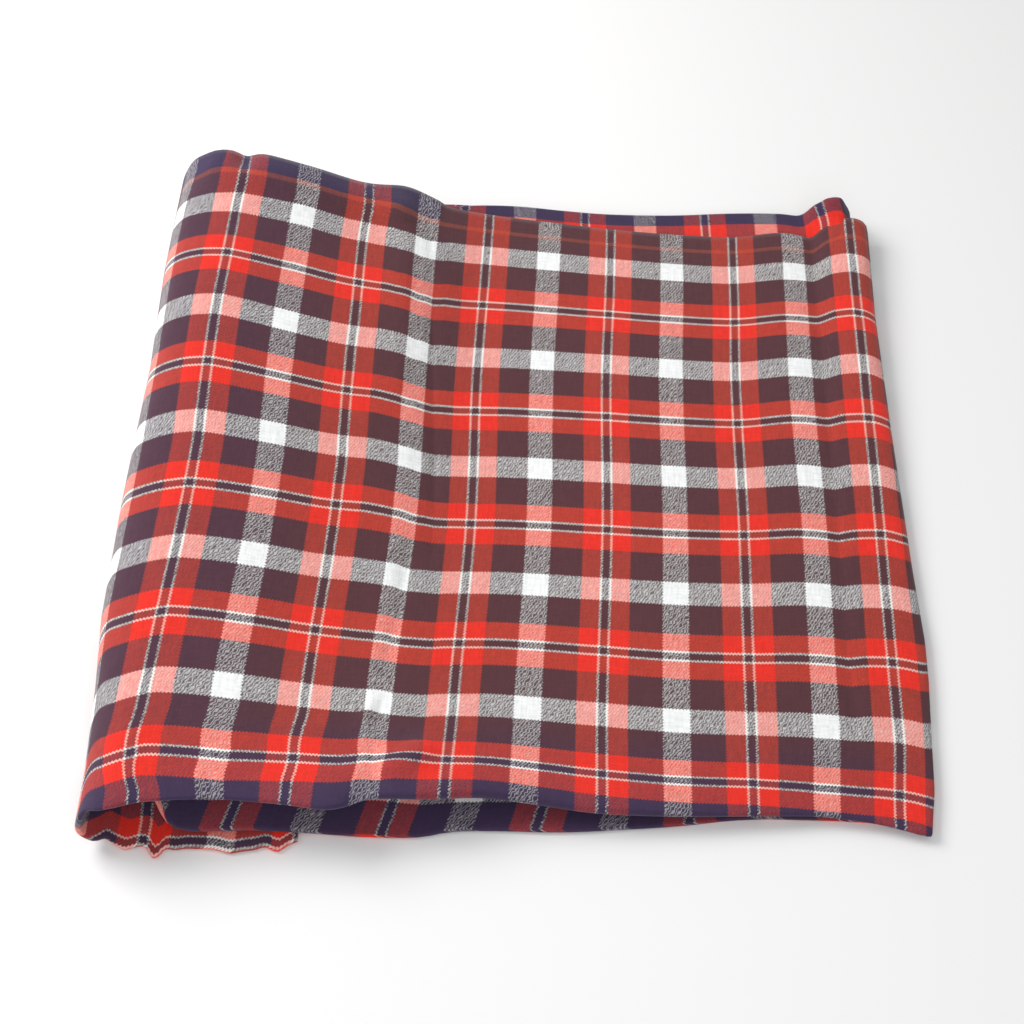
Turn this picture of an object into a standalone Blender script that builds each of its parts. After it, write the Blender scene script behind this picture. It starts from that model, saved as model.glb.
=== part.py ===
"""Maasai shuka: one woven blanket, folded in half twice, its left end turned loosely under itself.

The cloth is folded in half along its length, which gives a doubled cloth with one long fold at the
front and both selvedges at the back. The doubled cloth is then folded in half across its length at
the right, so that four layers lie on each other, and both free ends are turned under at the left.

Metres, +X to the right, +Y to the back, +Z up. The origin is the bottom centre of the whole box.
"""

import math

import bpy
import numpy as np
from mathutils import Vector

MM = 0.001

CLOTH_THICKNESS = 1.5 * MM
LAYER_GAP = 2.0 * MM
HALF_STEP = (CLOTH_THICKNESS + LAYER_GAP) / 2.0

# The doubled cloth is bent along a route, seen from the front, which is given at four depths.
DEPTH_STATIONS = (380.0 * MM, 50.0 * MM, -170.0 * MM, -360.0 * MM)

# One row for each bend of the route, from the end of the upper half, under the left end, to the
# end of the lower half. The lengths are in millimetres. x_back and x_front place the row at the
# back and at the front, and the z columns are the middle of the doubled cloth at the four depths.
# front is the place of the long fold, back_outer and back_inner are those of the two selvedges.
ROUTE_COLUMNS = (
    "x_back", "x_front", "z_back", "z_middle", "z_fore", "z_front",
    "front", "back_outer", "back_inner",
)
ROUTE = (
    # Upper half: its end lies on the floor, and it runs left under the turned end.
    (-176, -203, 2.5, 2.5, 2.5, 2.5, -376, 362, 356),
    (-215, -228, 2.5, 2.5, 2.5, 2.5, -385, 366, 358),
    (-290, -290, 2.5, 2.5, 2.5, 2.5, -387, 368, 360),
    (-362, -358, 2.5, 2.5, 2.5, 2.5, -387, 368, 360),
    # Round the left end and up.
    (-393, -383, 11, 9, 8, 7, -387, 366, 360),
    (-406, -394, 27, 22, 18, 17, -387, 363, 358),
    (-411, -397, 48, 40, 32, 29, -386, 360, 356),
    (-408, -394, 70, 60, 48, 41, -382, 360, 356),
    (-400, -386, 91, 78, 60, 52, -377, 362, 358),
    (-386, -373, 109, 89, 68, 60, -379, 366, 361),
    (-362, -357, 113, 92, 71, 62, -376, 371, 365),
    # Down the long slope, with a step where the cloth is creased.
    (-330, -333, 110, 87, 69, 59, -368, 374, 367),
    (-271, -275, 94, 71, 59, 53, -360, 372, 367),
    (-212, -215, 69, 54, 44, 51, -361, 375, 370),
    (-165, -172, 57, 43, 35, 51, -364, 385, 376),
    (-133, -146, 49, 35.5, 31.5, 50, -352, 377, 371),
    (-115, -128, 41.5, 29, 27, 49, -349, 372, 377),
    (-78, -88, 30.5, 18, 20, 46, -346, 375, 391),
    (-35, -38, 23, 13, 14, 38, -338, 376, 399),
    (14, 14, 18, 10.5, 11, 29, -339, 376, 400),
    (66, 66, 13.5, 9.5, 9.5, 23, -342, 375, 402),
    (136, 136, 10, 9.5, 9.5, 19, -340, 374, 408),
    (206, 206, 10, 9.5, 9.5, 16, -335, 374, 415),
    # Trough and soft ridge before the right fold.
    (262, 264, 14, 13.5, 11, 12, -331, 380, 414),
    (300, 306, 15, 14.5, 12, 10, -333, 376, 410),
    (320, 330, 25, 16.5, 11.5, 9.5, -336, 385, 413),
    (338, 350, 30, 18, 11, 9.5, -340, 392, 416),
    (354, 366, 27, 16, 10, 9.2, -343, 391, 414),
    # Round the right fold to the lower half.
    (361, 374, 16, 11.5, 8, 7.6, -343, 388, 409),
    (356, 372.5, 6.5, 5.5, 4, 3.8, -342, 380, 404),
    (340, 364, 2.5, 2.5, 2.5, 2.5, -337, 376, 400),
    (300, 318, 2.5, 2.5, 2.5, 2.5, -331, 374, 398),
    # Lower half, flat on the floor, with its long fold showing in front.
    (205, 210, 2.5, 2.5, 2.5, 2.5, -333, 372, 398),
    (130, 133, 2.5, 2.5, 2.5, 2.5, -346, 372, 398),
    (50, 40, 3.5, 2.5, 2.5, 2.5, -357, 372, 397),
    (0, -20, 8.5, 2.5, 2.5, 2.5, -359, 372, 396),
    # Up the slope under the upper half.
    (-45, -64, 14, 5, 5, 2.5, -362, 371, 396),
    (-85, -96, 21, 8.5, 9, 2.5, -369, 370, 394),
    (-125, -136, 33, 20, 16, 2.8, -370, 370, 384),
    (-172, -178, 48, 33, 22, 6, -368, 370, 366),
    (-220, -224, 62, 45, 30, 15, -361, 368, 364),
    (-280, -280, 85, 62, 42, 22, -352, 366, 362),
    (-340, -338, 99, 77, 55, 26, -346, 365, 361),
    # Round the left end, inside the upper half, and back as a loose hump that ends on the floor.
    (-366, -366, 99, 79, 57, 27, -346, 364, 360),
    (-384, -379, 92, 75, 54, 25.5, -346, 362, 358),
    (-396, -386.5, 74, 62, 46, 21.5, -346, 360, 356),
    (-401, -387.5, 51, 43, 33, 17.5, -346, 358, 354),
    (-397, -384.5, 30, 26, 22, 13.5, -346, 358, 354),
    (-383, -376, 16, 15, 14, 10.8, -346, 358, 354),
    (-358, -358, 16, 15, 13, 10.2, -346, 358, 354),
    (-328, -328, 40, 28, 20, 10, -346, 358, 354),
    (-298, -298, 60, 40, 26, 10, -346, 358, 354),
    (-266, -268, 54, 37, 24, 10, -346, 358, 354),
    (-238, -242, 32, 24, 17, 10, -346, 358, 354),
    (-214, -220, 14, 13, 11, 10, -346, 358, 354),
)

# Where the upper half's long fold stands up as a soft round roll instead of lying pressed.
# The lengths are in millimetres: the radius of the fold, by the place along X on the upper half.
FRONT_ROLL_COLUMNS = ("x", "radius")
FRONT_ROLL = (
    (-300, 1.75),
    (-150, 3.5),
    (-60, 6.0),
    (60, 5.0),
    (200, 3.2),
    (300, 1.75),
)
FRONT_ROLL_DEPTH = 70.0 * MM
UPPER_HALF_STARTS = 10
UPPER_HALF_ENDS = 25

# At the right fold the inner layer lies this far inside the outer one, at the back and the front.
NEST_BACK = 17.0 * MM
NEST_FRONT = 1.0 * MM
NEST_LENGTH = 70.0 * MM

STEP_ALONG = 17.0 * MM
OUTER_STEPS = 8
INNER_STEPS = 6
FOLD_STEPS = 6

CLOTH_RED = (0.55, 0.06, 0.05, 1.0)
CLOTH_ROUGHNESS = 0.9


def clear_scene():
    for item in list(bpy.data.objects):
        bpy.data.objects.remove(item, do_unlink=True)


def smooth_step(value):
    value = np.clip(value, 0.0, 1.0)
    return value * value * (3.0 - 2.0 * value)


def table_column(table, columns, name):
    place = columns.index(name)
    return np.array([row[place] for row in table]) * MM


def route_column(name):
    return table_column(ROUTE, ROUTE_COLUMNS, name)


def bend_curve(values, steps):
    """Pass a smooth curve through one column, with the given number of steps after each row."""
    padded = np.concatenate([[2 * values[0] - values[1]], values, [2 * values[-1] - values[-2]]])
    result = []
    for row, count in enumerate(steps):
        before, start, end, after = padded[row:row + 4]
        for t in np.arange(count) / count:
            result.append(0.5 * (
                2 * start
                + (end - before) * t
                + (2 * before - 5 * start + 4 * end - after) * t ** 2
                + (3 * start - before - 3 * end + after) * t ** 3
            ))
    result.append(values[-1])
    return np.array(result)


def steps_after_each_row():
    """Give each stretch of the route as many steps as its length at the back needs."""
    x = route_column("x_back")
    z = route_column("z_back")
    lengths = np.hypot(np.diff(x), np.diff(z))
    return np.maximum(1, np.round(lengths / STEP_ALONG)).astype(int)


def route_samples():
    """Return each column of the route as a smooth list of samples, and each sample's row."""
    steps = steps_after_each_row()
    samples = {name: bend_curve(route_column(name), steps) for name in ROUTE_COLUMNS}
    samples["row"] = bend_curve(np.arange(len(ROUTE), dtype=float), steps)
    return samples


def across_depth(values, y):
    """Read a smooth curve through the values at the four depth stations."""
    total = 0.0
    for here, value in zip(DEPTH_STATIONS, values):
        weight = 1.0
        for other in DEPTH_STATIONS:
            if other != here:
                weight = weight * (y - other) / (here - other)
        total = total + weight * value
    return total


def centre_line(samples, y):
    """Return x and z of the doubled cloth's middle along the whole route, at the depths y."""
    share = (DEPTH_STATIONS[0] - y) / (DEPTH_STATIONS[0] - DEPTH_STATIONS[3])
    x = samples["x_back"] + (samples["x_front"] - samples["x_back"]) * share
    heights = [samples[name] for name in ("z_back", "z_middle", "z_fore", "z_front")]
    z = np.maximum(across_depth(heights, y), HALF_STEP + CLOTH_THICKNESS / 2.0)
    return x, z


def fold_radius(samples):
    """Return the radius of the long fold along the route."""
    places = table_column(FRONT_ROLL, FRONT_ROLL_COLUMNS, "x")
    radii = table_column(FRONT_ROLL, FRONT_ROLL_COLUMNS, "radius")
    x = samples["x_front"]
    radius = np.interp(x, places, radii)
    upper = (samples["row"] >= UPPER_HALF_STARTS) & (samples["row"] <= UPPER_HALF_ENDS)
    return np.where(upper, radius, HALF_STEP)


def section(front, back_outer, back_inner, radius):
    """Return depths and offsets across the doubled cloth, from selvedge to selvedge."""
    turn = front + radius
    outer = np.linspace(back_outer, turn, OUTER_STEPS + 1)[:-1]
    inner = np.linspace(turn, back_inner, INNER_STEPS + 1)[1:]
    angles = np.linspace(0.5 * math.pi, 1.5 * math.pi, FOLD_STEPS + 1)
    depths = np.concatenate([outer, turn + radius * np.cos(angles), inner])
    sides = np.concatenate([np.ones(OUTER_STEPS), np.sin(angles), -np.ones(INNER_STEPS)])
    near_fold = smooth_step(1.0 - (depths - turn) / FRONT_ROLL_DEPTH)
    offsets = sides * (HALF_STEP + (radius - HALF_STEP) * near_fold)
    return depths, offsets


def cloth_points():
    """Return the middle surface of the cloth as a grid: along the route, then across it."""
    samples = route_samples()
    radii = fold_radius(samples)
    rows = [
        section(front, outer, inner, radius)
        for front, outer, inner, radius in zip(
            samples["front"], samples["back_outer"], samples["back_inner"], radii
        )
    ]
    depths = np.array([row[0] for row in rows])
    offsets = np.array([row[1] for row in rows])
    points = np.zeros(depths.shape + (3,))
    right_end = samples["x_front"].max()
    for column in range(depths.shape[1]):
        y = depths[:, column]
        offset = offsets[:, column]
        x, z = centre_line(samples, y)
        along_x = np.gradient(x)
        along_z = np.gradient(z)
        length = np.hypot(along_x, along_z)
        x = x - offset * along_z / length
        z = z + offset * along_x / length
        share = np.clip((y - DEPTH_STATIONS[3]) / (DEPTH_STATIONS[0] - DEPTH_STATIONS[3]), 0.0, 1.0)
        nest = NEST_FRONT + (NEST_BACK - NEST_FRONT) * share
        inside = 0.5 - 0.5 * np.clip(offset / HALF_STEP, -1.0, 1.0)
        near_end = smooth_step((x - right_end + NEST_LENGTH) / NEST_LENGTH)
        x = x - nest * inside * near_end
        points[:, column, 0] = x
        points[:, column, 1] = y
        points[:, column, 2] = np.maximum(z, CLOTH_THICKNESS / 2.0)
    return points


def cloth_material():
    material = bpy.data.materials.new("woven_cloth")
    material.use_nodes = True
    shader = material.node_tree.nodes["Principled BSDF"]
    shader.inputs["Base Color"].default_value = CLOTH_RED
    shader.inputs["Roughness"].default_value = CLOTH_ROUGHNESS
    shader.inputs["Metallic"].default_value = 0.0
    return material


def make_cloth(collection):
    """Build the cloth as an open surface that Solidify gives its thickness."""
    points = cloth_points()
    along, across = points.shape[:2]
    mesh = bpy.data.meshes.new("shuka_cloth")
    faces = [
        (i * across + j, i * across + j + 1, (i + 1) * across + j + 1, (i + 1) * across + j)
        for i in range(along - 1)
        for j in range(across - 1)
    ]
    mesh.from_pydata(points.reshape(-1, 3).tolist(), [], faces)
    mesh.materials.append(cloth_material())
    mesh.shade_smooth()
    cloth = bpy.data.objects.new("shuka_cloth", mesh)
    collection.objects.link(cloth)
    solidify = cloth.modifiers.new("thickness", "SOLIDIFY")
    solidify.thickness = CLOTH_THICKNESS
    solidify.offset = 0.0
    return cloth


def centre_on_box(item):
    """Move the mesh so that the origin is the bottom centre of its finished box."""
    bpy.context.view_layer.update()
    finished = item.evaluated_get(bpy.context.evaluated_depsgraph_get())
    corners = np.array([list(corner) for corner in finished.bound_box])
    low = corners.min(axis=0)
    high = corners.max(axis=0)
    middle = (low + high) / 2.0
    shift = Vector((-middle[0], -middle[1], -low[2]))
    for vertex in item.data.vertices:
        vertex.co += shift
    item.data.update()


def main():
    clear_scene()
    collection = bpy.data.collections.new("shuka")
    bpy.context.scene.collection.children.link(collection)
    centre_on_box(make_cloth(collection))


main()
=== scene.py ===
"""Looks of the folded Maasai shuka: one fine sheet on the folds of its solid, and its woven plaid.

Lengths are in metres, in the frame of the solid: +X right, +Y to the back, +Z up. The folds are
worked out in the lay frame, which is that frame before its origin was moved to the box's centre.
"""

import math

import bpy
import numpy as np
from mathutils import Matrix, Vector


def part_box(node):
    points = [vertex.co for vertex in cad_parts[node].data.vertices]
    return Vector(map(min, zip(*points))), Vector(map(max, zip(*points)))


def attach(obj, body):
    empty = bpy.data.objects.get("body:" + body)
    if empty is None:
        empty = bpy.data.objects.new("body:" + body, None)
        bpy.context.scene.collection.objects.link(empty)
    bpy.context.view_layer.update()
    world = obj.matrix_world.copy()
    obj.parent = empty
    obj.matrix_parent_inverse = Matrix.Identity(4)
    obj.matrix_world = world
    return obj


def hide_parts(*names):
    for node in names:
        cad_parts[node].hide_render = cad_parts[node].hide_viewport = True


MM = 0.001

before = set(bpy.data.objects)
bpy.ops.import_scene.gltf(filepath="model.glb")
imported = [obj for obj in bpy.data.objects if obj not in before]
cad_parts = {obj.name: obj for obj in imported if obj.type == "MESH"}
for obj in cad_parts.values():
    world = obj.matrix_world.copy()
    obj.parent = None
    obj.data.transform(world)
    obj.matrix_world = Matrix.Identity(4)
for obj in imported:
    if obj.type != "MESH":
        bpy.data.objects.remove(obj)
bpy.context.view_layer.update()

CLOTH_THICKNESS = 1.5 * MM
LAYER_GAP = 2.0 * MM
HALF_STEP = (CLOTH_THICKNESS + LAYER_GAP) / 2.0

# The flat cloth: the plaid's repeat, the width between selvedges, and the length.
REPEAT = 139.0 * MM
THREADS_PER_REPEAT = 180.0
WIDTH_IN_REPEATS = 10.58

# The twill, in threads: its period along the cloth, how far it leans at each thread across, how
# uneven its ribs are, the scale of that unevenness, and how steep the teeth at the bands' edges
# are. By the first selvedge, for this part of a repeat, the ribs run straight.
TWILL_PERIOD = 4.2
TWILL_LEAN = 0.65
TWILL_UNEVENNESS = 1.2
UNEVENNESS_SCALE = 0.25
TOOTH_SLOPE = 0.95
STRAIGHT_RIBS_WIDTH = 0.06

# The columns of the tables that aren't lengths. All other columns are in millimetres.
PLAIN_COLUMNS = ("at_fold", "slack", "power")

# The doubled cloth is bent along a route, seen from the front, which is given at four depths.
DEPTH_STATIONS = (380.0 * MM, 50.0 * MM, -170.0 * MM, -360.0 * MM)

# One row for each bend of the route, from the end of the upper half, under the left end, to the
# end of the lower half. x_back and x_front place the row at the back and at the front, and the z
# columns are the middle of the doubled cloth at the four depths. front is the place of the long
# fold, and back_outer and back_inner are those of the two selvedges. at_fold is how many repeats
# the long fold lies from the selvedge, and slack is how many repeats of cloth are taken up out of
# sight before this row.
ROUTE_COLUMNS = (
    "x_back", "x_front", "z_back", "z_middle", "z_fore", "z_front",
    "front", "back_outer", "back_inner", "at_fold", "slack",
)
ROUTE = (
    # Upper half: its end lies on the floor, and it runs left under the turned end.
    (-176, -203, 2.5, 2.5, 2.5, 2.5, -376, 362, 356, 4.86, -0.065),
    (-215, -228, 2.5, 2.5, 2.5, 2.5, -385, 366, 358, 4.86, -0.065),
    (-290, -290, 2.5, 2.5, 2.5, 2.5, -387, 368, 360, 4.86, -0.065),
    (-362, -358, 2.5, 2.5, 2.5, 2.5, -387, 368, 360, 4.87, -0.065),
    # Round the left end and up.
    (-393, -383, 11, 9, 8, 7, -387, 366, 360, 4.90, -0.06),
    (-406, -394, 27, 22, 18, 17, -387, 363, 358, 4.97, -0.05),
    (-411, -397, 48, 40, 32, 29, -386, 360, 356, 5.06, -0.035),
    (-408, -394, 70, 60, 48, 41, -382, 360, 356, 5.14, -0.02),
    (-400, -386, 91, 78, 60, 52, -377, 362, 358, 5.20, -0.01),
    (-386, -373, 109, 89, 68, 60, -379, 366, 361, 5.24, 0.0),
    (-362, -357, 113, 92, 71, 62, -376, 371, 365, 5.26, 0.0),
    # Down the long slope, with a step where the cloth is creased.
    (-330, -333, 110, 87, 69, 59, -368, 374, 367, 5.26, 0.0),
    (-271, -275, 94, 71, 59, 53, -360, 372, 367, 5.25, 0.0),
    (-212, -215, 69, 54, 44, 51, -361, 375, 370, 5.25, 0.0),
    (-165, -172, 57, 43, 35, 51, -364, 385, 376, 5.27, 0.0),
    (-133, -146, 49, 35.5, 31.5, 50, -352, 377, 371, 5.22, 0.0),
    (-115, -128, 41.5, 29, 27, 49, -349, 372, 377, 5.21, 0.0),
    (-78, -88, 30.5, 18, 20, 46, -346, 375, 391, 5.20, 0.0),
    (-35, -38, 23, 13, 14, 38, -338, 376, 399, 5.18, 0.0),
    (14, 14, 18, 10.5, 11, 29, -339, 376, 400, 5.18, 0.0),
    (66, 66, 13.5, 9.5, 9.5, 23, -342, 375, 402, 5.18, 0.0),
    (136, 136, 10, 9.5, 9.5, 19, -340, 374, 408, 5.16, 0.0),
    (206, 206, 10, 9.5, 9.5, 16, -335, 374, 415, 5.15, 0.0),
    # Trough and soft ridge before the right fold.
    (262, 264, 14, 13.5, 11, 12, -331, 380, 414, 5.15, 0.0),
    (296, 303, 15, 14.5, 12, 10, -333, 376, 410, 5.15, 0.0),
    (316, 328, 25, 16.5, 11.5, 9.5, -336, 385, 413, 5.16, 0.0),
    (338, 350, 30, 18, 11, 9.5, -340, 392, 416, 5.17, 0.0),
    (354, 366, 27, 16, 10, 9.2, -343, 391, 414, 5.17, 0.0),
    # Round the right fold to the lower half.
    (361, 374, 16, 11.5, 8, 7.6, -343, 388, 409, 5.15, 0.05),
    (356, 372.5, 6.5, 5.5, 4, 3.8, -342, 380, 404, 5.13, 0.12),
    (340, 364, 2.5, 2.5, 2.5, 2.5, -337, 376, 400, 5.10, 0.22),
    (300, 318, 2.5, 2.5, 2.5, 2.5, -331, 374, 398, 5.08, 0.316),
    # Lower half, flat on the floor, with its long fold showing in front.
    (205, 210, 2.5, 2.5, 2.5, 2.5, -333, 372, 398, 5.09, 0.316),
    (130, 133, 2.5, 2.5, 2.5, 2.5, -344, 372, 398, 5.10, 0.316),
    (50, 40, 3.5, 2.5, 2.5, 2.5, -354, 372, 397, 5.11, 0.316),
    (0, -20, 8.5, 2.5, 2.5, 2.5, -356, 372, 396, 5.12, 0.316),
    # Up the slope under the upper half.
    (-45, -64, 14, 5, 5, 2.5, -359, 371, 396, 5.12, 0.316),
    (-85, -96, 21, 8.5, 9, 2.5, -366, 370, 394, 5.10, 0.316),
    (-125, -136, 33, 20, 16, 2.8, -368, 370, 384, 5.07, 0.316),
    (-172, -178, 48, 33, 22, 5, -368, 370, 366, 5.09, 0.316),
    (-220, -240, 62, 45, 30, 12, -370, 368, 364, 5.10, 0.316),
    (-280, -310, 85, 62, 42, 18, -374, 366, 362, 5.10, 0.316),
    (-340, -338, 99, 77, 55, 26, -346, 365, 361, 4.98, 0.316),
    # Round the left end, inside the upper half, and back as a loose hump that ends on the floor.
    (-366, -366, 99, 79, 57, 27, -346, 364, 360, 4.92, 0.316),
    (-384, -379, 92, 75, 54, 25.5, -346, 362, 358, 4.92, 0.316),
    (-396, -386.5, 74, 62, 46, 21.5, -346, 360, 356, 4.92, 0.316),
    (-401, -387.5, 51, 43, 33, 17.5, -346, 358, 354, 4.92, 0.316),
    (-397, -384.5, 30, 26, 22, 13.5, -346, 358, 354, 4.92, 0.316),
    (-383, -376, 16, 15, 14, 10.8, -346, 358, 354, 4.92, 0.316),
    (-358, -358, 16, 15, 13, 10.2, -346, 358, 354, 4.92, 0.316),
    (-328, -328, 40, 28, 20, 10, -346, 358, 354, 4.92, 0.316),
    (-298, -298, 60, 40, 26, 10, -346, 358, 354, 4.92, 0.316),
    (-266, -268, 54, 37, 24, 10, -346, 358, 354, 4.92, 0.316),
    (-238, -242, 32, 24, 17, 10, -346, 358, 354, 4.92, 0.316),
    (-214, -220, 14, 13, 11, 10, -346, 358, 354, 4.92, 0.316),
)

# The rows that bound the upper half from the left end to the right fold, and the two turns.
LEFT_TURN_STARTS = 4
UPPER_HALF_STARTS = 10
UPPER_HALF_ENDS = 25
RIGHT_TURN_ENDS = 30
LOWER_HALF_ENDS = 45

# Where the upper half's long fold stands up as a soft round roll instead of lying pressed: the
# radius of the fold, by the place along X on the upper half.
FRONT_ROLL_COLUMNS = ("x", "radius")
FRONT_ROLL = (
    (-300, 1.75),
    (-150, 3.5),
    (-60, 6.0),
    (60, 5.0),
    (200, 3.2),
    (300, 1.75),
)
FRONT_ROLL_DEPTH = 70.0 * MM

# At the right fold the inner layer lies this far inside the outer one, at the back and the front.
NEST_BACK = 17.0 * MM
NEST_FRONT = 1.0 * MM
NEST_LENGTH = 70.0 * MM

# How far the left end and the right fold swing out from a straight line, by the depth.
SWING_COLUMNS = ("y", "out")
LEFT_SWING = (
    (-330, -2),
    (-250, 2),
    (-180, 8),
    (-50, 8),
    (110, 3),
    (230, 6),
    (380, 4),
)
RIGHT_SWING = (
    (-343, -7),
    (-300, 0),
    (-249, 3),
    (-186, 7),
    (-144, 8),
    (-60, 4),
    (10, 2),
    (107, -1),
    (262, -4),
    (380, -1),
)
SWING_LENGTH = 60.0 * MM

# Ridges and troughs of the upper half, each along a line on the floor plan: the line's two ends,
# the height, and the half widths to the left and right of the line as it runs from its first end.
# A power of 2 is a soft swell, and near 1 a pressed crease. The second table lifts only the inner
# of the two layers.
CREASE_COLUMNS = ("x0", "y0", "x1", "y1", "height", "left_width", "right_width", "power")
CREASES = (
    (-175, 346, -366, 346, 8, 24, 30, 2.0),
    (-340, 360, -339, 385, -9, 10, 13, 2.0),
    (-150, 120, -160, 345, 2.0, 16, 9, 2.0),
    (-109, 16, -136, 335, -2.2, 5, 7, 1.2),
    (-104, -70, -109, 16, -1.5, 5, 7, 1.2),
    (-140, -236, -127, -90, -2.0, 8, 9, 1.6),
    (-148, -262, -142, -244, 3.5, 5, 6, 1.6),
    (-139, -318, -140, -240, -2.0, 6, 8, 1.6),
    (-152, -354, -127, -330, -4.0, 7, 7, 1.3),
    (-118, -316, -100, -302, 8.0, 13, 11, 2.0),
    (305, -235, 298, 390, -3.0, 9, 8, 1.3),
)
INNER_CREASES = (
    (301, 408, 301, 430, 19, 10, 46, 2.0),
)
CREASE_END_FADE = 28.0 * MM

# Small loops of the crumpled long fold, in front of the tail under the left end.
LOOP_COLUMNS = ("x", "out", "half_width")
LOOPS = (
    (-378, -5, 7),
    (-357, 4, 8),
    (-329, 11, 6),
    (-312, 2, 6),
    (-262, 3, 10),
    (-232, -3, 7),
    (-219, 3, 5),
)

# How far the woven plaid has drifted from straight on the upper half: by the place along X, and
# at each of the depths. It fades in and out over these rows beyond the upper half's ends, over
# the first part of a repeat from the selvedge, and over a share of the inner layer.
DRIFT_DEPTHS = (300.0 * MM, 165.0 * MM, -40.0 * MM, -240.0 * MM, -335.0 * MM, -366.0 * MM)
DRIFT_COLUMNS = ("x", "to_left", "to_front")
DRIFT = (
    (-340, (4, 6, 0, 4, 8, -3), (16, 9, 8, 3, 0, 0)),
    (-271, (2, 3, -3, 1, 4, 0), (11, 11, 9, 8, 6, 6)),
    (-205, (3, 1, -5, -1, 5, 5), (14, 14, 8, 7, 0, 0)),
    (-165, (2, 0, -5, 0, 5, 5), (24, 18, 8, 8, -1, -1)),
    (-140, (2, 0, -5, 1, 4, 4), (20, 17, 8, 9, -2, -2)),
    (-112, (2, 1, -4, 1, 4, 4), (8, 10, 7, 8, -3, -3)),
    (-71, (1, 2, -3, 1, 3, 3), (4, 6, 6, 6, -5, -5)),
    (68, (0, 2, -2, 0, -1, -1), (1, 0, 2, 3, -5, -5)),
    (206, (0, 2, -1, -1, 0, 0), (2, 2, 4, 8, -2, -2)),
    (270, (1, 2, -3, -2, 2, 2), (2, 1, 6, 12, 4, 4)),
    (300, (2, 2, -2, -1, 4, 4), (-3, -2, 5, 11, 3, 3)),
    (341, (4, 3, 1, 0, 6, 6), (9, 6, 6, 9, 2, 2)),
)
DRIFT_ROWS_BEYOND = 4.0
DRIFT_FADE_IN = 3.0
DRIFT_FADE_OUT = 2.0
DRIFT_SELVEDGE_FADE = 0.41
DRIFT_FOLD_FADE = 0.125

# Where the plaid is held: on the upper half, this place along X is this many repeats along the
# cloth. The inner layer lies askew by this part of a repeat at its selvedge.
REFERENCE_X = 68.0 * MM
REFERENCE_REPEATS = 3.0
INNER_SHEAR = 0.22

# The mesh: its steps along the route, shortest after the rows by the loops, the crease and the
# right ridge, and its steps across the outer layer, the inner layer and the long fold.
ALONG_STEP_SEEN = 5.6 * MM
ALONG_STEP_CREASED = 3.2 * MM
ALONG_STEP_HIDDEN = 13.0 * MM
CREASED_ROWS = (1, 2, 13, 14, 15, 16, 23, 24, 25, 26)
OUTER_STEPS = 98
INNER_STEPS = 28
FOLD_STEPS = 8

# The texture map, from 0 to 1. MAP_ALONG has the ends of the route's stretches, MAP_FACE those of
# the outer layer, the long fold, a strip past it and the rest of the inner layer, and MAP_REVERSE
# the cloth's other side, at these shares of its width. Each rim gets a narrow strip of its own.
MAP_ALONG = (0.012, 0.062, 0.762, 0.952, 0.988)
MAP_FACE = (0.985, 0.355, 0.325, 0.255, 0.155)
MAP_REVERSE = (0.012, 0.062, 0.125)
MAP_REVERSE_SHARES = (0.0, 0.9, 1.0)
STRIP_SHARE = 0.1
MAP_FIRST_END = 0.001
MAP_LAST_END = 0.993
MAP_FIRST_SELVEDGE = 0.989
MAP_SECOND_SELVEDGE = 0.134
MAP_END_WIDTH = 0.006
MAP_SELVEDGE_WIDTH = 0.009

# The camera, fitted to the crossings of the plaid, in the lay frame.
CAMERA_PLACE = Vector((0.0019, -0.9254, 1.3852))
CAMERA_ELEVATION = math.radians(56.49)
CAMERA_AZIMUTH = math.radians(1.80)
CAMERA_ROLL = math.radians(1.09)
CAMERA_LENS_MM = 57.0
CAMERA_SENSOR_MM = 36.0

FLOOR_SIZE = 12.0
FLOOR_DROP = 0.5 * MM
WORLD_STRENGTH = 0.50

# Thread colours, and the stripes of one repeat from the middle of the red band, as the shares of
# a repeat at which each stripe ends. They are symmetric about the middle.
RED = (0.80, 0.028, 0.016)
WHITE = (0.89, 0.91, 0.91)
LINE_WHITE = (0.86, 0.84, 0.80)
NAVY = (0.093, 0.031, 0.039)
HALF_STRIPES = (
    (NAVY, 0.0235),
    (LINE_WHITE, 0.0415),
    (RED, 0.173),
    (NAVY, 0.410),
    (WHITE, 0.500),
)
ROW_PHASE = 0.09

# The borders, in repeats from the first selvedge: a red line in the navy there, and by the second
# selvedge red that ends in navy.
BORDER_RED = (0.28, 0.060, 0.040)
FIRST_BORDER = ((NAVY, 0.145), (BORDER_RED, 0.182), (NAVY, 0.32))
SECOND_BORDER_STARTS = 10.1
SECOND_BORDER_RED_ENDS = 10.455

# The share of the rows' threads that shows where they cross the columns' threads, and what a
# lighter or redder thread loses, a line's thread gains, and the ribs change of it.
ROW_SHARE = 0.58
GREEN_LOSS = 0.20
RED_LOSS = 0.06
LINE_GAIN = 0.15
LINE_MARGIN = 0.02
RIB_CONTRAST = 0.12
WHITE_ON_NAVY_CONTRAST = 0.24

# The colours that threads of two colours give together, how strongly, and how fast red threads
# take the cool grey away.
BROWN_RED = (0.42, 0.105, 0.030)
BROWN_STRENGTH = 0.25
PEACH = (0.86, 0.25, 0.10)
PEACH_STRENGTH = 0.30
COOL_GREY = (0.10, 0.34, 0.37)
COOL_STRENGTH = 0.15
WARMTH_OF_RED = 1.2

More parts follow.
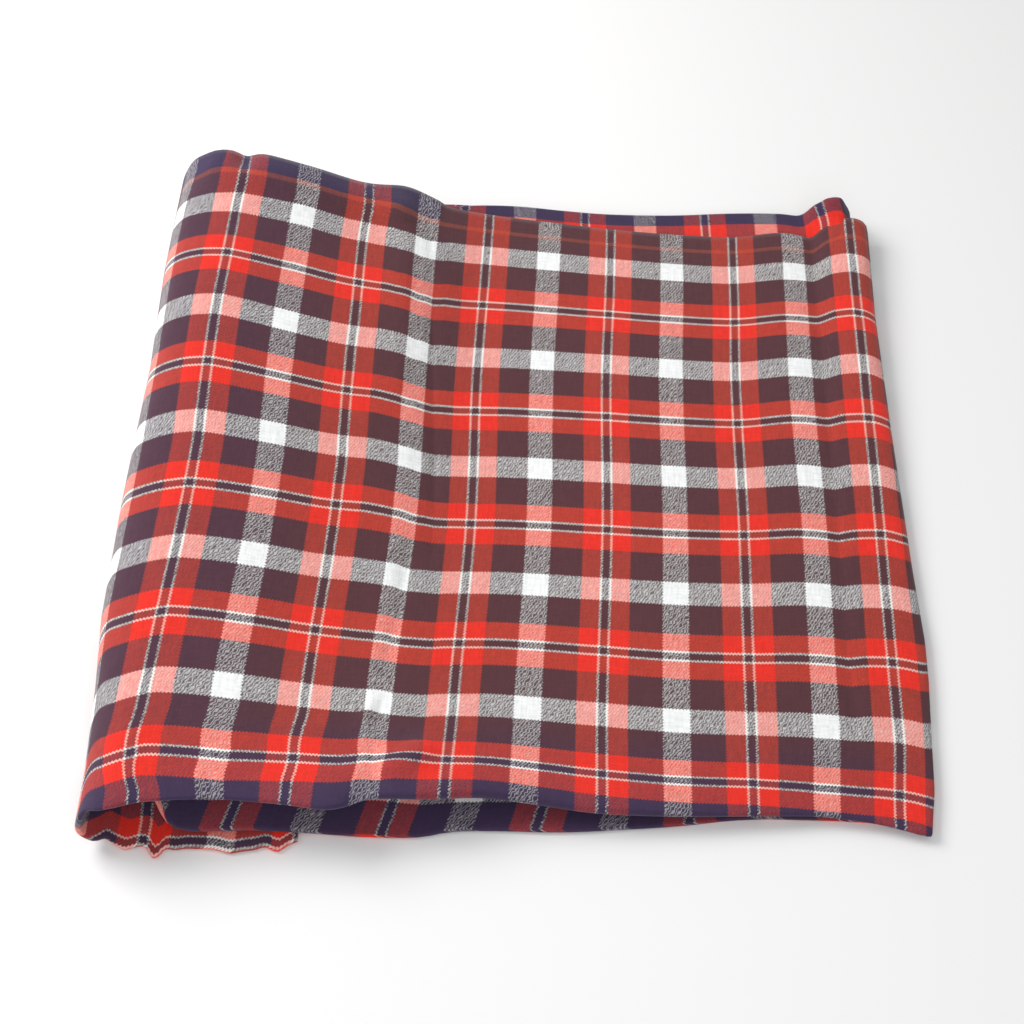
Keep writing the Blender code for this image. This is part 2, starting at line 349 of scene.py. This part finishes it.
# Painted light and shade: dark threads are painted bluer to stand in for the cool light and shade by
# the edges. The masks are in repeats across or along the cloth: from before the long fold onwards, at
# the left end, and by the left part of the first selvedge. The last number is how fast red makes a
# thread too light for it.
NAVY_IN_PAINTED_EDGE_LIGHT = (0.036, 0.026, 0.082)
PAINTED_LIGHT_BY_FOLD = (4.4, 5.3)
PAINTED_LIGHT_AT_LEFT = (-0.2, 1.2)
PAINTED_LIGHT_AT_LEFT_STRENGTH = 0.35
PAINTED_LIGHT_SELVEDGE_WIDTH = 0.15
PAINTED_LIGHT_SELVEDGE_LENGTH = 1.6
LIGHTNESS_OF_RED = 1.6

# The unevenness of the cloth's tone: long streaks, and pairs of threads over short stretches.
TONE_BASE = 0.83
STREAKS_ALONG = 34.0
STREAKS_ACROSS = 5.0
STREAK_DEPTH = 0.16
TONE_PAIR = 2.0
TONE_STRETCH = 11.0
PAIR_DEPTH = 0.09


def smooth_step(value):
    value = np.clip(value, 0.0, 1.0)
    return value * value * (3.0 - 2.0 * value)


def column_scale(name):
    return 1.0 if name in PLAIN_COLUMNS else MM


def table_column(table, columns, name):
    """Return one column of a table, with its lengths in metres."""
    place = columns.index(name)
    return np.array([row[place] for row in table], dtype=float) * column_scale(name)


def named_rows(table, columns):
    """Return the rows of a table as named values, with their lengths in metres."""
    return [
        {name: value * column_scale(name) for name, value in zip(columns, row)}
        for row in table
    ]


def bend_curve(values, steps):
    """Pass a smooth curve through one column, with the given number of steps after each row."""
    padded = np.concatenate([[2 * values[0] - values[1]], values, [2 * values[-1] - values[-2]]])
    result = []
    for row, count in enumerate(steps):
        before, start, end, after = padded[row:row + 4]
        for t in np.arange(count) / count:
            result.append(0.5 * (
                2 * start
                + (end - before) * t
                + (2 * before - 5 * start + 4 * end - after) * t ** 2
                + (3 * start - before - 3 * end + after) * t ** 3
            ))
    result.append(values[-1])
    return np.array(result)


def steps_after_each_row():
    """Give each stretch of the route as many steps as its length at the back needs."""
    x = table_column(ROUTE, ROUTE_COLUMNS, "x_back")
    z = table_column(ROUTE, ROUTE_COLUMNS, "z_back")
    lengths = np.hypot(np.diff(x), np.diff(z))
    rows = np.arange(len(lengths))
    step = np.where(rows < RIGHT_TURN_ENDS, ALONG_STEP_SEEN, ALONG_STEP_HIDDEN)
    step = np.where(np.isin(rows, CREASED_ROWS), ALONG_STEP_CREASED, step)
    return np.maximum(2, np.round(lengths / step)).astype(int)


def route_samples():
    """Return each column of the route as a smooth list of samples, and each sample's row."""
    steps = steps_after_each_row()
    samples = {
        name: bend_curve(table_column(ROUTE, ROUTE_COLUMNS, name), steps)
        for name in ROUTE_COLUMNS
    }
    samples["row"] = bend_curve(np.arange(len(ROUTE), dtype=float), steps)
    tail = smooth_step(LEFT_TURN_STARTS - samples["row"] + 0.5)
    for loop in named_rows(LOOPS, LOOP_COLUMNS):
        bump = np.exp(-((samples["x_front"] - loop["x"]) / loop["half_width"]) ** 2)
        samples["front"] = samples["front"] - loop["out"] * bump * tail
    return samples


def across_depth(values, y):
    """Read a smooth curve through the values at the four depth stations."""
    total = 0.0
    for here, value in zip(DEPTH_STATIONS, values):
        weight = 1.0
        for other in DEPTH_STATIONS:
            if other != here:
                weight = weight * (y - other) / (here - other)
        total = total + weight * value
    return total


def centre_line(samples, y):
    """Return x and z of the doubled cloth's middle along the whole route, at the depths y."""
    share = (DEPTH_STATIONS[0] - y) / (DEPTH_STATIONS[0] - DEPTH_STATIONS[3])
    x = samples["x_back"] + (samples["x_front"] - samples["x_back"]) * share
    heights = [samples[name] for name in ("z_back", "z_middle", "z_fore", "z_front")]
    z = np.maximum(across_depth(heights, y), HALF_STEP + CLOTH_THICKNESS / 2.0)
    return x, z


def fold_radius(samples):
    """Return the radius of the long fold along the route."""
    places = table_column(FRONT_ROLL, FRONT_ROLL_COLUMNS, "x")
    radii = table_column(FRONT_ROLL, FRONT_ROLL_COLUMNS, "radius")
    x = samples["x_front"]
    radius = np.interp(x, places, radii)
    upper = (samples["row"] >= UPPER_HALF_STARTS) & (samples["row"] <= UPPER_HALF_ENDS)
    return np.where(upper, radius, HALF_STEP)


def section(front, back_outer, back_inner, radius):
    """Return depths and offsets across the doubled cloth, from selvedge to selvedge."""
    turn = front + radius
    outer = np.linspace(back_outer, turn, OUTER_STEPS + 1)[:-1]
    shares = 0.5 - 0.5 * np.cos(np.linspace(0.0, math.pi, INNER_STEPS + 1)[1:])
    inner = turn + (back_inner - turn) * shares
    angles = np.linspace(0.5 * math.pi, 1.5 * math.pi, FOLD_STEPS + 1)
    depths = np.concatenate([outer, turn + radius * np.cos(angles), inner])
    sides = np.concatenate([np.ones(OUTER_STEPS), np.sin(angles), -np.ones(INNER_STEPS)])
    near_fold = smooth_step(1.0 - (depths - turn) / FRONT_ROLL_DEPTH)
    offsets = sides * (HALF_STEP + (radius - HALF_STEP) * near_fold)
    return depths, offsets


def crease_height(table, x, y):
    """Add up the creases of a table at the places x, y of the floor plan."""
    total = np.zeros_like(x)
    for crease in named_rows(table, CREASE_COLUMNS):
        length = math.hypot(crease["x1"] - crease["x0"], crease["y1"] - crease["y0"])
        line_x = (crease["x1"] - crease["x0"]) / length
        line_y = (crease["y1"] - crease["y0"]) / length
        from_x = x - crease["x0"]
        from_y = y - crease["y0"]
        along = from_x * line_x + from_y * line_y
        beside = from_x * line_y - from_y * line_x
        width = np.where(beside < 0.0, crease["left_width"], crease["right_width"])
        fade = smooth_step((along + CREASE_END_FADE) / CREASE_END_FADE)
        fade = fade * smooth_step((length + CREASE_END_FADE - along) / CREASE_END_FADE)
        swell = np.exp(-np.abs(beside / width) ** crease["power"])
        total = total + crease["height"] * fade * swell
    return total


def swing_at(table, y):
    """Return how far an end swings out at the depths y."""
    depths = table_column(table, SWING_COLUMNS, "y")
    swings = table_column(table, SWING_COLUMNS, "out")
    return np.interp(y, depths, swings)


def cloth_surface(samples):
    """Return the cloth's middle surface as a grid: along the route, then across the cloth."""
    radii = fold_radius(samples)
    rows = [
        section(front, outer, inner, radius)
        for front, outer, inner, radius in zip(
            samples["front"], samples["back_outer"], samples["back_inner"], radii
        )
    ]
    depths = np.array([row[0] for row in rows])
    offsets = np.array([row[1] for row in rows])
    points = np.zeros(depths.shape + (3,))
    left_end = samples["x_front"].min()
    right_end = samples["x_front"].max()
    upper = smooth_step(samples["row"] - UPPER_HALF_STARTS + 1.0)
    upper = upper * smooth_step(UPPER_HALF_ENDS + 2.0 - samples["row"])
    for column in range(depths.shape[1]):
        y = depths[:, column]
        offset = offsets[:, column]
        inside = 0.5 - 0.5 * np.clip(offset / HALF_STEP, -1.0, 1.0)
        x, z = centre_line(samples, y)
        z = z + upper * crease_height(CREASES, x, y)
        z = z + upper * inside * crease_height(INNER_CREASES, x, y)
        along_x = np.gradient(x)
        along_z = np.gradient(z)
        length = np.hypot(along_x, along_z)
        x = x - offset * along_z / length
        z = z + offset * along_x / length
        share = np.clip((y - DEPTH_STATIONS[3]) / (DEPTH_STATIONS[0] - DEPTH_STATIONS[3]), 0.0, 1.0)
        nest = NEST_FRONT + (NEST_BACK - NEST_FRONT) * share
        x = x - nest * inside * smooth_step((x - right_end + NEST_LENGTH) / NEST_LENGTH)
        near_right = smooth_step((x - right_end + SWING_LENGTH) / SWING_LENGTH)
        near_left = smooth_step((left_end + SWING_LENGTH - x) / SWING_LENGTH)
        x = x + swing_at(RIGHT_SWING, y) * near_right - swing_at(LEFT_SWING, y) * near_left
        points[:, column, 0] = x
        points[:, column, 1] = y
        points[:, column, 2] = np.maximum(z, CLOTH_THICKNESS / 2.0)
    return points


def drift_at(x, y, direction):
    """Return the drift of the plaid at the places x, y in one direction, a column of the table."""
    places = table_column(DRIFT, DRIFT_COLUMNS, "x")
    drifts = table_column(DRIFT, DRIFT_COLUMNS, direction)
    order = np.argsort(DRIFT_DEPTHS)
    at_depths = [np.interp(x, places, drifts[:, station]) for station in order]
    depths = np.array(DRIFT_DEPTHS)[order]
    total = at_depths[0]
    for number in range(len(depths) - 1):
        share = smooth_step((y - depths[number]) / (depths[number + 1] - depths[number]))
        total = total + (at_depths[number + 1] - at_depths[number]) * share
    return total


def repeats_along(points, samples):
    """Return how many repeats along the cloth each point lies, from lengths on the surface."""
    steps = np.diff(points[:, :, [0, 2]], axis=0)
    along = np.zeros(points.shape[:2])
    along[1:] = np.cumsum(np.linalg.norm(steps, axis=2), axis=0)
    first = np.searchsorted(samples["row"], UPPER_HALF_STARTS)
    last = np.searchsorted(samples["row"], UPPER_HALF_ENDS)
    for column in range(points.shape[1]):
        x = points[first:last, column, 0]
        start = np.interp(REFERENCE_X, x, along[first:last, column])
        along[:, column] = REFERENCE_REPEATS + (along[:, column] - start) / REPEAT
    return along


def flat_places(points, samples):
    """Return where each point lies in the flat cloth, in repeats of the plaid.

    Each point has two numbers: along the length, and across the width from the first selvedge.
    """
    steps = np.diff(points, axis=1)
    across = np.zeros(points.shape[:2])
    across[:, 1:] = np.cumsum(np.linalg.norm(steps, axis=2), axis=1)
    fold = OUTER_STEPS + FOLD_STEPS // 2
    at_fold = samples["at_fold"][:, None]
    to_fold = across[:, fold:fold + 1]
    past_fold = np.clip((across - to_fold) / (across[:, -1:] - to_fold), 0.0, 1.0)
    outer = at_fold * across / to_fold
    inner = at_fold + (WIDTH_IN_REPEATS - at_fold) * past_fold
    place_across = np.where(across <= to_fold, outer, inner)
    place_along = repeats_along(points, samples) + samples["slack"][:, None]
    place_along = place_along + INNER_SHEAR * past_fold

    row = samples["row"][:, None]
    weight = smooth_step((row - UPPER_HALF_STARTS + DRIFT_ROWS_BEYOND) / DRIFT_FADE_IN)
    weight = weight * smooth_step((UPPER_HALF_ENDS + DRIFT_ROWS_BEYOND - row) / DRIFT_FADE_OUT)
    weight = weight * np.clip(1.0 - past_fold / DRIFT_FOLD_FADE, 0.0, 1.0)
    from_edge = np.clip(across / (DRIFT_SELVEDGE_FADE * REPEAT), 0.0, 1.0)
    x = points[:, :, 0]
    y = points[:, :, 1]
    place_along = place_along + weight * drift_at(x, y, "to_left") / REPEAT
    place_across = place_across - weight * from_edge * drift_at(x, y, "to_front") / REPEAT
    return np.stack([place_along, place_across], axis=2)


def grid_normals(points):
    """Return the unit normals of a grid of points."""
    normals = np.cross(np.gradient(points, axis=1), np.gradient(points, axis=0))
    return normals / np.linalg.norm(normals, axis=2, keepdims=True)


def map_places(points, samples):
    """Return the places of the face side and the reverse side on the texture map.

    The parts that show get most of the room: the upper half along the route, and the outer layer
    and the strips by the long fold and the second selvedge across it.
    """
    middle = points[:, OUTER_STEPS // 2]
    length = np.concatenate([[0.0], np.cumsum(np.linalg.norm(np.diff(middle, axis=0), axis=1))])
    ends = [0, LEFT_TURN_STARTS, RIGHT_TURN_ENDS, LOWER_HALF_ENDS, len(ROUTE) - 1]
    knots = np.interp(ends, samples["row"], length)
    along = np.interp(length, knots, MAP_ALONG)
    depth = np.linalg.norm(np.diff(points.mean(axis=0), axis=0), axis=1)
    depth = np.concatenate([[0.0], np.cumsum(depth)])
    fold_starts = depth[OUTER_STEPS]
    fold_ends = depth[OUTER_STEPS + FOLD_STEPS]
    strip_ends = fold_ends + STRIP_SHARE * (depth[-1] - fold_ends)
    face = np.interp(depth, [0.0, fold_starts, fold_ends, strip_ends, depth[-1]], MAP_FACE)
    reverse = np.interp(depth / depth[-1], MAP_REVERSE_SHARES, MAP_REVERSE)
    return along, face, reverse


def side_quads(along, across):
    """Return the quads of one side of the sheet."""
    rows, columns = np.meshgrid(np.arange(along - 1), np.arange(across - 1), indexing="ij")
    corner = (rows * across + columns).ravel()
    return np.stack([corner, corner + 1, corner + across + 1, corner + across], axis=1)


def side_map(map_along, map_across):
    """Return the place on the texture map of each vertex of one side."""
    u, v = np.meshgrid(map_along, map_across, indexing="ij")
    return np.stack([u.ravel(), v.ravel()], axis=1)


def edge_map(map_along, map_across):
    """Return the places on the texture map of an edge that runs straight along or across it."""
    return np.stack(np.broadcast_arrays(map_along, map_across), axis=1)


def sheet_quads(points, samples):
    """Return the closed sheet's quads, and the place of each of their corners on the map."""
    along, across = points.shape[:2]
    count = along * across
    map_along, map_face, map_reverse = map_places(points, samples)
    face = side_quads(along, across)
    reverse = face[:, ::-1]
    quads = [face, reverse + count]
    maps = [
        side_map(map_along, map_face)[face.ravel()],
        side_map(map_along, map_reverse)[reverse.ravel()],
    ]

    first_end = np.arange(across)
    last_end = (along - 1) * across + first_end
    first_selvedge = np.arange(along) * across
    second_selvedge = first_selvedge + across - 1
    end_width = np.array([MAP_END_WIDTH, 0.0])
    selvedge_width = np.array([0.0, MAP_SELVEDGE_WIDTH])
    rims = (
        (first_end, edge_map(MAP_FIRST_END, map_face), end_width),
        (last_end[::-1], edge_map(MAP_LAST_END, map_face[::-1]), end_width),
        (first_selvedge[::-1], edge_map(map_along[::-1], MAP_FIRST_SELVEDGE), selvedge_width),
        (second_selvedge, edge_map(map_along, MAP_SECOND_SELVEDGE), selvedge_width),
    )
    for edge, places, width in rims:
        start, end = edge[:-1], edge[1:]
        quads.append(np.stack([start, start + count, end + count, end], axis=1))
        first, second = places[:-1], places[1:]
        corners = np.stack([first, first + width, second + width, second], axis=1)
        maps.append(corners.reshape(-1, 2))
    return np.concatenate(quads), np.concatenate(maps)


def make_cloth(points, samples, shift):
    """Build the closed sheet: a face side, a reverse side and the rim that joins them."""
    quads, corner_places = sheet_quads(points, samples)
    flat = np.concatenate([flat_places(points, samples).reshape(-1, 2)] * 2)
    outward = grid_normals(points) * CLOTH_THICKNESS / 2.0
    points = points + shift
    sides = [(points + outward).reshape(-1, 3), (points - outward).reshape(-1, 3)]
    mesh = bpy.data.meshes.new("woven_shuka")
    mesh.from_pydata(np.concatenate(sides).tolist(), [], quads.tolist())
    for name, places in (("FlatCloth", flat[quads.ravel()]), ("OFBake", corner_places)):
        layer = mesh.uv_layers.new(name=name)
        layer.data.foreach_set("uv", places.ravel())
    mesh.shade_smooth()
    cloth = bpy.data.objects.new("woven_shuka", mesh)
    bpy.context.collection.objects.link(cloth)
    return cloth


def lay_shift(points):
    """Return the move from the lay frame to the solid's frame."""
    points = points.reshape(-1, 3)
    low, high = (np.array(corner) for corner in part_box("shuka_cloth"))
    middle = (points.min(axis=0) + points.max(axis=0)) / 2.0
    shift = (low + high) / 2.0 - middle
    shift[2] = 0.0
    return shift


class Nodes:
    """A small helper that adds nodes to a material and links them."""

    def __init__(self, material):
        self.tree = material.node_tree

    def add(self, kind, **settings):
        node = self.tree.nodes.new(kind)
        for name, value in settings.items():
            setattr(node, name, value)
        return node

    def link(self, source, target):
        self.tree.links.new(source, target)

    def feed(self, socket, value):
        """Link a socket to another node, or set it to a constant."""
        if isinstance(value, bpy.types.NodeSocket):
            self.link(value, socket)
        else:
            socket.default_value = value

    def math(self, operation, first, second=0.0):
        node = self.add("ShaderNodeMath", operation=operation)
        self.feed(node.inputs[0], first)
        self.feed(node.inputs[1], second)
        return node.outputs[0]

    def plus(self, first, second):
        return self.math("ADD", first, second)

    def minus(self, first, second):
        return self.math("SUBTRACT", first, second)

    def times(self, first, *others):
        for other in others:
            first = self.math("MULTIPLY", first, other)
        return first

    def plane(self, first, second):
        """Join two numbers to a vector."""
        node = self.add("ShaderNodeCombineXYZ")
        self.feed(node.inputs[0], first)
        self.feed(node.inputs[1], second)
        return node.outputs[0]

    def mix(self, factor, first, second):
        """Mix two colours. A colour is a socket or three numbers."""
        node = self.add("ShaderNodeMix", data_type="RGBA")
        self.feed(node.inputs[0], factor)
        for socket, color in ((node.inputs[6], first), (node.inputs[7], second)):
            self.feed(socket, (*color, 1.0) if isinstance(color, tuple) else color)
        return node.outputs[2]

    def step_between(self, value, low, high):
        """Give 0 below low, 1 above high, and a smooth rise between them."""
        node = self.add("ShaderNodeMapRange", interpolation_type="SMOOTHSTEP")
        self.link(value, node.inputs["Value"])
        node.inputs["From Min"].default_value = low
        node.inputs["From Max"].default_value = high
        return node.outputs["Result"]

    def stripes(self, phase, bands):
        """Give the colour of the band that the phase falls in. The bands list where each ends."""
        node = self.add("ShaderNodeValToRGB")
        ramp = node.color_ramp
        ramp.interpolation = "CONSTANT"
        starts = [0.0] + [end for _, end in bands[:-1]]
        for number, ((color, _), start) in enumerate(zip(bands, starts)):
            element = ramp.elements[number] if number < 2 else ramp.elements.new(start)
            element.position = start
            element.color = (*color, 1.0)
        self.link(phase, node.inputs[0])
        return node.outputs[0]

    def soft_noise(self, first, second, scale, detail):
        """Give a soft noise over the plane of two numbers."""
        node = self.add("ShaderNodeTexNoise", noise_dimensions="2D")
        node.inputs["Scale"].default_value = scale
        node.inputs["Detail"].default_value = detail
        self.link(self.plane(first, second), node.inputs["Vector"])
        return node.outputs[0]

    def red_and_green(self, color):
        node = self.add("ShaderNodeSeparateColor")
        self.link(color, node.inputs[0])
        return node.outputs[0], node.outputs[1]

    def flat_place(self):
        """Give the place in the flat cloth, along and across it, in repeats."""
        place = self.add("ShaderNodeUVMap", uv_map="FlatCloth").outputs[0]
        split = self.add("ShaderNodeSeparateXYZ")
        self.link(place, split.inputs[0])
        return split.outputs[0], split.outputs[1]


def mirrored_stripes():
    """Return the stripes of a whole repeat as bands over 0 to 1, from its middle onwards."""
    ends = [end for _, end in HALF_STRIPES]
    bands = list(HALF_STRIPES)
    starts = [0.0] + ends[:-1]
    for (color, _), start in reversed(list(zip(HALF_STRIPES, starts))):
        bands.append((color, 1.0 - start))
    return bands


def toothed_place(nodes, threads, crossing):
    """Shift a place to and fro along the bands, which gives their edges the twill's teeth."""
    tooth = nodes.math("PINGPONG", crossing, TWILL_PERIOD / 2.0)
    tooth = nodes.minus(tooth, TWILL_PERIOD / 4.0)
    shifted = nodes.plus(threads, nodes.times(tooth, TOOTH_SLOPE))
    return nodes.math("DIVIDE", shifted, THREADS_PER_REPEAT)


def row_color(nodes, place):
    """Give the colour of the threads of the rows, with the borders by the two selvedges."""
    row = nodes.stripes(nodes.math("FRACT", nodes.plus(place, ROW_PHASE)), mirrored_stripes())
    first_border = nodes.stripes(place, FIRST_BORDER)
    row = nodes.mix(nodes.math("LESS_THAN", place, FIRST_BORDER[-1][1]), row, first_border)
    in_red = nodes.math("LESS_THAN", place, SECOND_BORDER_RED_ENDS)
    second_border = nodes.mix(in_red, NAVY, RED)
    return nodes.mix(nodes.math("GREATER_THAN", place, SECOND_BORDER_STARTS), row, second_border)


def twill_ribs(nodes, across, threads_along, threads_across):
    """Give the height of the twill's slanting ribs, from -1 to 1."""
    past_straight = nodes.math("GREATER_THAN", across, STRAIGHT_RIBS_WIDTH)
    lean = nodes.times(threads_across, TWILL_LEAN, past_straight)
    wave = nodes.math("DIVIDE", nodes.plus(threads_along, lean), TWILL_PERIOD)
    wander = nodes.soft_noise(threads_along, threads_across, UNEVENNESS_SCALE, 0.0)
    wave = nodes.plus(wave, nodes.times(wander, TWILL_UNEVENNESS))
    return nodes.math("SINE", nodes.times(wave, 2.0 * math.pi))


def thin_line(nodes, green):
    """Give 1 where the threads are those of a thin white line."""
    above = nodes.math("GREATER_THAN", green, LINE_WHITE[1] - LINE_MARGIN)
    return nodes.times(above, nodes.math("LESS_THAN", green, LINE_WHITE[1] + LINE_MARGIN))


def weave_color(nodes, column, row, ribs):
    """Mix the threads of the columns and the rows where they cross."""
    column_red, column_green = nodes.red_and_green(column)
    row_red, row_green = nodes.red_and_green(row)

    # The rows' threads cover a little more than the columns', and a darker thread shows more. The
    # threads of the thin white lines stand up, so that more of them shows.
    green_loss = nodes.times(nodes.minus(row_green, column_green), GREEN_LOSS)
    red_loss = nodes.times(nodes.minus(row_red, column_red), RED_LOSS)
    cover = nodes.minus(nodes.minus(ROW_SHARE, green_loss), red_loss)
    line_lead = nodes.minus(thin_line(nodes, row_green), thin_line(nodes, column_green))
    cover = nodes.plus(cover, nodes.times(line_lead, LINE_GAIN))

    # The ribs show most where white meets navy.
    red_difference = nodes.math("ABSOLUTE", nodes.minus(row_red, column_red))
    green_difference = nodes.math("ABSOLUTE", nodes.minus(row_green, column_green))
    contrast = nodes.times(red_difference, green_difference, WHITE_ON_NAVY_CONTRAST)
    contrast = nodes.plus(contrast, RIB_CONTRAST)
    weave = nodes.mix(nodes.plus(cover, nodes.times(ribs, contrast)), column, row)

    # Where red meets navy the cloth looks brown, where red meets white it looks like peach, and
    # where navy meets white it looks a cool grey.
    not_white = nodes.minus(1.0, nodes.math("MAXIMUM", row_green, column_green))
    least_red = nodes.math("MINIMUM", row_red, column_red)
    not_red = nodes.minus(1.0, nodes.times(least_red, WARMTH_OF_RED))
    brown = nodes.times(red_difference, not_white, BROWN_STRENGTH)
    weave = nodes.mix(brown, weave, BROWN_RED)
    peach = nodes.times(green_difference, least_red, PEACH_STRENGTH)
    weave = nodes.mix(peach, weave, PEACH)
    cool = nodes.times(green_difference, not_red, COOL_STRENGTH)
    return nodes.mix(cool, weave, COOL_GREY)


def paint_edge_light_on_dark_threads(nodes, weave, along, across):
    """Paint bluish light and shade on the dark threads by the long fold, the left end and the first
    selvedge.
    """
    by_fold = nodes.step_between(across, *PAINTED_LIGHT_BY_FOLD)
    at_left = nodes.minus(1.0, nodes.step_between(along, *PAINTED_LIGHT_AT_LEFT))
    by_selvedge = nodes.times(
        nodes.math("LESS_THAN", across, PAINTED_LIGHT_SELVEDGE_WIDTH),
        nodes.math("LESS_THAN", along, PAINTED_LIGHT_SELVEDGE_LENGTH),
    )
    painted_light_share = nodes.math("MAXIMUM", by_fold, by_selvedge)
    painted_light_share = nodes.math("MAXIMUM", painted_light_share, nodes.times(at_left, PAINTED_LIGHT_AT_LEFT_STRENGTH))
    weave_red, _ = nodes.red_and_green(weave)
    darkness = nodes.minus(1.0, nodes.times(weave_red, LIGHTNESS_OF_RED))
    darkness = nodes.math("MAXIMUM", darkness, 0.0)
    # Mix in the painted bluish light and shade where the threads are dark.
    return nodes.mix(nodes.times(painted_light_share, darkness), weave, NAVY_IN_PAINTED_EDGE_LIGHT)


def pair_tone(nodes, threads, crossing):
    """Make each pair of threads a little lighter or darker than the next."""
    noise = nodes.add("ShaderNodeTexWhiteNoise", noise_dimensions="2D")
    pair = nodes.math("FLOOR", nodes.math("DIVIDE", threads, TONE_PAIR))
    stretch = nodes.math("FLOOR", nodes.math("DIVIDE", crossing, TONE_STRETCH))
    nodes.link(nodes.plane(pair, stretch), noise.inputs["Vector"])
    return nodes.times(noise.outputs["Value"], PAIR_DEPTH)


def uneven_tone(nodes, color, along, across, threads_along, threads_across):
    """Lighten and darken a colour in streaks and from one pair of threads to the next."""
    stretched_along = nodes.times(along, STREAKS_ALONG)
    stretched_across = nodes.times(across, STREAKS_ACROSS)
    streaks = nodes.soft_noise(stretched_along, stretched_across, 1.0, 2.0)
    tone = nodes.plus(nodes.times(streaks, STREAK_DEPTH), TONE_BASE)
    tone = nodes.plus(tone, pair_tone(nodes, threads_across, threads_along))
    tone = nodes.plus(tone, pair_tone(nodes, threads_along, threads_across))
    toned = nodes.add("ShaderNodeVectorMath", operation="SCALE")
    nodes.link(color, toned.inputs[0])
    nodes.link(tone, toned.inputs["Scale"])
    return toned.outputs[0]


def woven_material():
    """Return the plaid twill. Its columns run across the cloth's width, its rows along its length."""
    material = bpy.data.materials.new("plaid_twill")
    material.use_nodes = True
    nodes = Nodes(material)
    shader = material.node_tree.nodes["Principled BSDF"]
    along, across = nodes.flat_place()
    threads_along = nodes.times(along, THREADS_PER_REPEAT)
    threads_across = nodes.times(across, THREADS_PER_REPEAT)

    column_phase = nodes.math("FRACT", toothed_place(nodes, threads_along, threads_across))
    column = nodes.stripes(column_phase, mirrored_stripes())
    row = row_color(nodes, toothed_place(nodes, threads_across, threads_along))
    ribs = twill_ribs(nodes, across, threads_along, threads_across)
    weave = weave_color(nodes, column, row, ribs)
    # Painted bluish light and shade on the dark threads by the long fold, the left end and the first
    # selvedge.
    weave = paint_edge_light_on_dark_threads(nodes, weave, along, across)
    toned = uneven_tone(nodes, weave, along, across, threads_along, threads_across)
    nodes.link(toned, shader.inputs["Base Color"])

    bump = nodes.add("ShaderNodeBump")
    bump.inputs["Strength"].default_value = 0.2
    bump.inputs["Distance"].default_value = 0.3 * MM
    nodes.link(ribs, bump.inputs["Height"])
    nodes.link(bump.outputs[0], shader.inputs["Normal"])

    shader.inputs["Roughness"].default_value = 0.85
    shader.inputs["Specular IOR Level"].default_value = 0.25
    shader.inputs["Sheen Weight"].default_value = 0.15
    shader.inputs["Sheen Roughness"].default_value = 0.5
    return material


def make_floor():
    bpy.ops.mesh.primitive_plane_add(size=FLOOR_SIZE, location=(0.0, 0.0, -FLOOR_DROP))
    floor = bpy.context.object
    floor.name = "floor"
    material = bpy.data.materials.new("pale_floor")
    material.use_nodes = True
    shader = material.node_tree.nodes["Principled BSDF"]
    shader.inputs["Base Color"].default_value = (0.93, 0.93, 0.93, 1.0)
    shader.inputs["Roughness"].default_value = 0.9
    shader.inputs["Specular IOR Level"].default_value = 0.1
    floor.data.materials.append(material)
    return floor


def make_camera(shift):
    back = Vector((
        math.sin(CAMERA_AZIMUTH) * math.cos(CAMERA_ELEVATION),
        -math.cos(CAMERA_AZIMUTH) * math.cos(CAMERA_ELEVATION),
        math.sin(CAMERA_ELEVATION),
    ))
    level = Vector((0.0, 0.0, 1.0)).cross(back).normalized()
    up = back.cross(level)
    right = level * math.cos(CAMERA_ROLL) + up * math.sin(CAMERA_ROLL)
    up = back.cross(right)
    data = bpy.data.cameras.new("camera")
    data.lens = CAMERA_LENS_MM
    data.sensor_width = CAMERA_SENSOR_MM
    camera = bpy.data.objects.new("camera", data)
    rotation = Matrix((right, up, back)).transposed().to_4x4()
    camera.matrix_world = Matrix.Translation(CAMERA_PLACE + Vector(shift)) @ rotation
    bpy.context.collection.objects.link(camera)
    bpy.context.scene.camera = camera


def add_light(name, place, target, size, power, color):
    data = bpy.data.lights.new(name, "AREA")
    data.size = size
    data.energy = power
    data.color = color
    light = bpy.data.objects.new(name, data)
    light.location = place
    light.rotation_euler = (Vector(target) - Vector(place)).to_track_quat("-Z", "Y").to_euler()
    bpy.context.collection.objects.link(light)


def make_light():
    world = bpy.data.worlds.new("studio")
    world.use_nodes = True
    background = world.node_tree.nodes["Background"]
    background.inputs["Color"].default_value = (1.0, 1.0, 1.0, 1.0)
    background.inputs["Strength"].default_value = WORLD_STRENGTH
    bpy.context.scene.world = world
    add_light(
        "key", place=(-1.7, 0.7, 1.6), target=(0.0, 0.0, 0.0),
        size=1.3, power=48.0, color=(1.0, 0.99, 0.97),
    )
    add_light(
        "fill", place=(0.2, -1.9, 1.9), target=(0.0, -0.1, 0.0),
        size=2.0, power=14.0, color=(0.95, 0.97, 1.0),
    )
    bpy.context.scene.view_settings.view_transform = "Standard"


def main():
    samples = route_samples()
    points = cloth_surface(samples)
    shift = lay_shift(points)
    cloth = make_cloth(points, samples, shift)
    cloth.data.materials.append(woven_material())
    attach(cloth, "root")
    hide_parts("shuka_cloth")
    floor = make_floor()
    make_camera(shift)
    make_light()


main()
